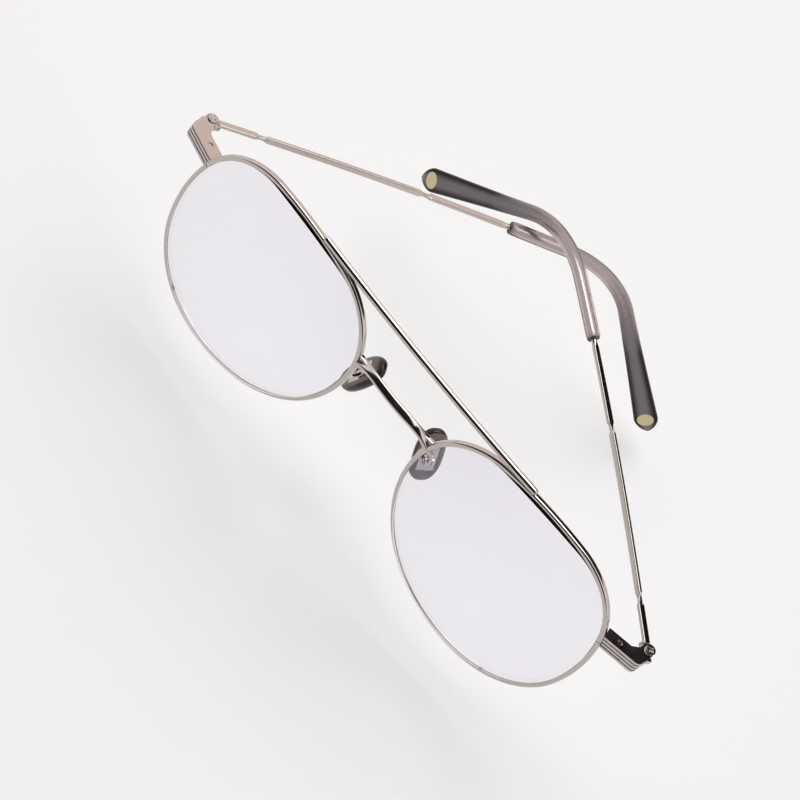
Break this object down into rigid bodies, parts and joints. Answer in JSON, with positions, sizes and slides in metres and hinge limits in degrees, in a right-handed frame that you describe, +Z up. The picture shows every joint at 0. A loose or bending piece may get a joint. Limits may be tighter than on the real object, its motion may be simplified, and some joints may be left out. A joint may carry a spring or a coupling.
{
  "type": "round wire eyeglasses",
  "caption": "Round wire-rimmed eyeglasses with a straight brow bar, a low bridge, adjustable nose pads and hinged temples with clear dark ear tips, lying folded.",
  "frame": {"origin": "the point midway between the centres of the two nose pads, where the frame sits on the nose", "axes": "+X towards the wearer's left, -Y to the front, +Z up"},
  "size_m": [0.1395, 0.0949, 0.0563],
  "materials": {
    "metal": "polished silver-coloured metal wire and strip",
    "lens": "clear lens with a faint violet anti-reflection coating",
    "tip": "glossy, slightly see-through smoky grey plastic",
    "inlay": "polished pale gold disc",
    "pad": "soft smoky grey see-through silicone",
    "screw": "bright machined steel"
  },
  "bodies": {
    "front_frame": {"right_rim": "metal", "left_rim": "metal", "right_lens": "lens", "left_lens": "lens", "right_end_piece": "metal", "left_end_piece": "metal", "right_lock_block": "metal", "left_lock_block": "metal", "right_lock_screw": "screw", "left_lock_screw": "screw", "right_hinge_screw": "screw", "left_hinge_screw": "screw", "right_pad_arm": "metal", "left_pad_arm": "metal", "brow_bar": "metal", "bridge": "metal"},
    "right_arm": {"right_temple": "metal", "right_temple_tip": "tip", "right_tip_inlay": "inlay"},
    "left_arm": {"left_temple": "metal", "left_temple_tip": "tip", "left_tip_inlay": "inlay"},
    "right_pad_body": {"right_nose_pad": "pad", "right_pad_insert": "metal", "right_pad_screw": "screw"},
    "left_pad_body": {"left_nose_pad": "pad", "left_pad_insert": "metal", "left_pad_screw": "screw"}
  },
  "joints": [
    {"name": "right_hinge", "type": "hinge", "parent": "front_frame", "child": "right_arm", "pos_m": [-0.0677, 0.00207, 0.0091], "axis": [0.0332, -0.0662, -0.9973], "range_deg": [-44.6, 43.4]},
    {"name": "left_hinge", "type": "hinge", "parent": "front_frame", "child": "left_arm", "pos_m": [0.0677, 0.00207, 0.0091], "axis": [0.1426, 0.0656, 0.9876], "range_deg": [-57.5, 32.5]},
    {"name": "right_pad_rock", "type": "hinge", "parent": "front_frame", "child": "right_pad_body", "pos_m": [-0.0116, -0.00127, 0.00049], "axis": [-0.6129, 0.7604, 0.2146], "range_deg": [-12, 12]},
    {"name": "left_pad_rock", "type": "hinge", "parent": "front_frame", "child": "left_pad_body", "pos_m": [0.0116, -0.00127, 0.00049], "axis": [0.6129, 0.7604, 0.2146], "range_deg": [-12, 12]}
  ]
}
